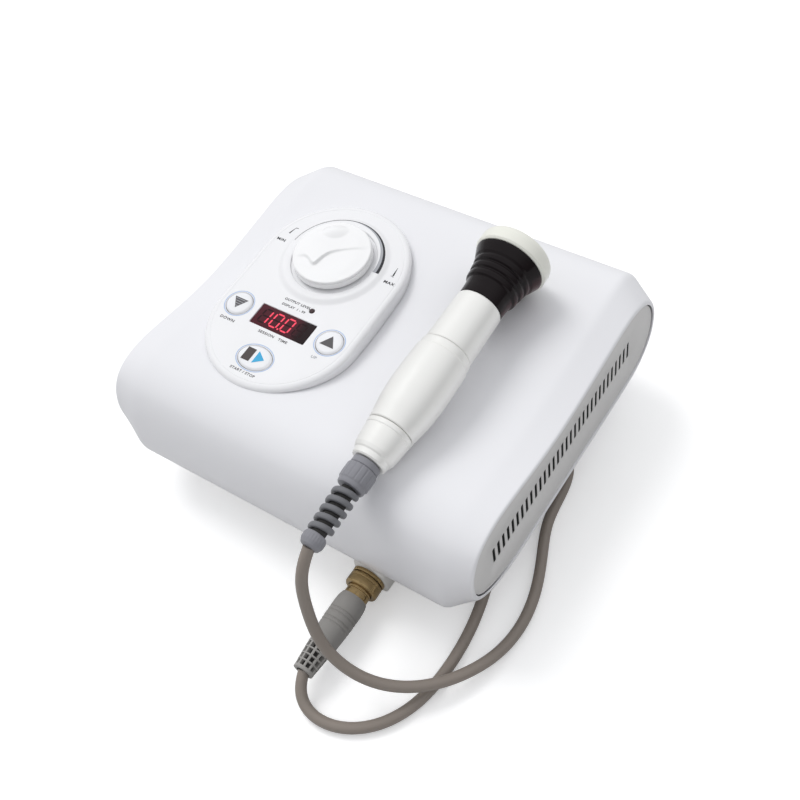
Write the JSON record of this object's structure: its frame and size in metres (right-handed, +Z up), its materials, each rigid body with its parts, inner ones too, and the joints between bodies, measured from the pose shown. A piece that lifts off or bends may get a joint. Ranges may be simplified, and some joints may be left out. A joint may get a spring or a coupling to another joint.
{
  "type": "ultrasound therapy device",
  "caption": "Desktop ultrasound therapy console with wave-shaped white housing, oval control panel, rotary intensity knob and a corded metal handpiece resting on top.",
  "frame": {"origin": "middle of the whole device's footprint, console and lead together, on the table plane under the feet", "axes": "+Z up, -Y is the front with the lead socket, +X is the side the handpiece lies on"},
  "size_m": [0.2382, 0.2727, 0.1241],
  "materials": {
    "white_shell": "glossy injection-moulded white",
    "cap_grey": "satin light grey moulding",
    "screw_steel": "zinc-plated",
    "foot_rubber": "matt black",
    "window_red": "dark red tinted filter",
    "black_plastic": "moulded black",
    "led_lens": "clear epoxy",
    "circuit_board": "solder resist",
    "key_white": "satin white",
    "knob_white": "high gloss white",
    "steel": "plain",
    "iron_core": "laminated and varnished",
    "capacitor_sleeve": "printed sleeve, plain",
    "sink_aluminium": "extruded",
    "coil_copper": "enamelled winding",
    "fuse_glass": "clear tube with metal caps",
    "socket_silver": "nickel satin",
    "brass": "satin brass",
    "plug_grey": "soft moulded grey",
    "cable_taupe": "satin taupe jacket",
    "head_cream": "cream moulding",
    "ceramic": "silvered piezo ceramic",
    "neck_dark": "very dark red translucent moulding",
    "barrel_silver": "satin anodised",
    "gland_grey": "moulded dark grey"
  },
  "bodies": {
    "console": {"upper_housing": "white_shell", "side_cap_left": "cap_grey", "side_cap_right": "cap_grey", "base_pan": "cap_grey", "base_screw_1": "screw_steel", "base_screw_2": "screw_steel", "base_screw_3": "screw_steel", "base_screw_4": "screw_steel", "foot_front_left": "foot_rubber", "foot_front_right": "foot_rubber", "foot_rear_left": "foot_rubber", "foot_rear_right": "foot_rubber", "control_panel": "white_shell", "display_window": "window_red", "display_module": "black_plastic", "status_led": "led_lens", "control_board": "circuit_board", "tact_switch_down": "black_plastic", "tact_switch_up": "black_plastic", "tact_switch_start": "black_plastic", "potentiometer": "steel", "pot_nut": "steel", "mains_transformer": "iron_core", "power_board": "circuit_board", "filter_capacitor": "capacitor_sleeve", "generator_board": "circuit_board", "heat_sink": "sink_aluminium", "output_coil": "coil_copper", "mains_inlet": "black_plastic", "switch_frame": "black_plastic", "panel_socket": "socket_silver", "socket_insert": "black_plastic", "socket_nut": "steel"},
    "intensity_knob": {"knob": "knob_white", "pot_shaft": "steel"},
    "down_key": {"down_button": "key_white"},
    "up_key": {"up_button": "key_white"},
    "start_stop_key": {"start_stop_button": "key_white"},
    "power_rocker": {"rocker_switch": "black_plastic"},
    "fuse_carrier": {"fuse_drawer": "black_plastic", "fuse": "fuse_glass"},
    "lead_plug": {"plug_shell": "brass", "plug_insert": "black_plastic", "plug_body": "plug_grey", "plug_strain_relief": "plug_grey", "cable": "cable_taupe"},
    "plug_coupling": {"coupling_ring": "brass"},
    "handpiece": {"treatment_head": "head_cream", "piezo_disc": "ceramic", "head_seal": "foot_rubber", "neck": "neck_dark", "front_barrel": "barrel_silver", "mid_barrel": "barrel_silver", "rear_cap": "barrel_silver", "gland_nut": "gland_grey", "handpiece_strain_relief": "gland_grey"}
  },
  "joints": [
    {"name": "knob_turn", "type": "hinge", "parent": "console", "child": "intensity_knob", "pos_m": [-0.0519, 0.05997, 0.08803], "axis": [0, -0.0436, 0.999], "range_deg": [-115, 55]},
    {"name": "down_press", "type": "slide", "parent": "console", "child": "down_key", "axis": [0, 0.0436, -0.999], "range_m": [0, 0.0006], "stiffness_N_per_m": 900},
    {"name": "up_press", "type": "slide", "parent": "console", "child": "up_key", "axis": [0, 0.0436, -0.999], "range_m": [0, 0.0006], "stiffness_N_per_m": 900},
    {"name": "start_stop_press", "type": "slide", "parent": "console", "child": "start_stop_key", "axis": [0, 0.0436, -0.999], "range_m": [0, 0.0006], "stiffness_N_per_m": 900},
    {"name": "power_rock", "type": "hinge", "parent": "console", "child": "power_rocker", "pos_m": [0.0129, 0.1278, 0.052], "axis": [1, 0, 0], "range_deg": [-20, 0]},
    {"name": "fuse_pull", "type": "slide", "parent": "console", "child": "fuse_carrier", "axis": [0, 1, 0], "range_m": [0, 0.016]},
    {"name": "plug_pull", "type": "slide", "parent": "console", "child": "lead_plug", "axis": [0, -1, 0], "range_m": [0, 0.012]},
    {"name": "coupling_turn", "type": "hinge", "parent": "lead_plug", "child": "plug_coupling", "pos_m": [0.0394, -0.065, 0.0138], "axis": [0, -1, 0], "continuous": true},
    {"name": "handpiece_lift", "type": "slide", "parent": "console", "child": "handpiece", "axis": [0, 0, 1], "range_m": [0, 0.06]}
  ]
}
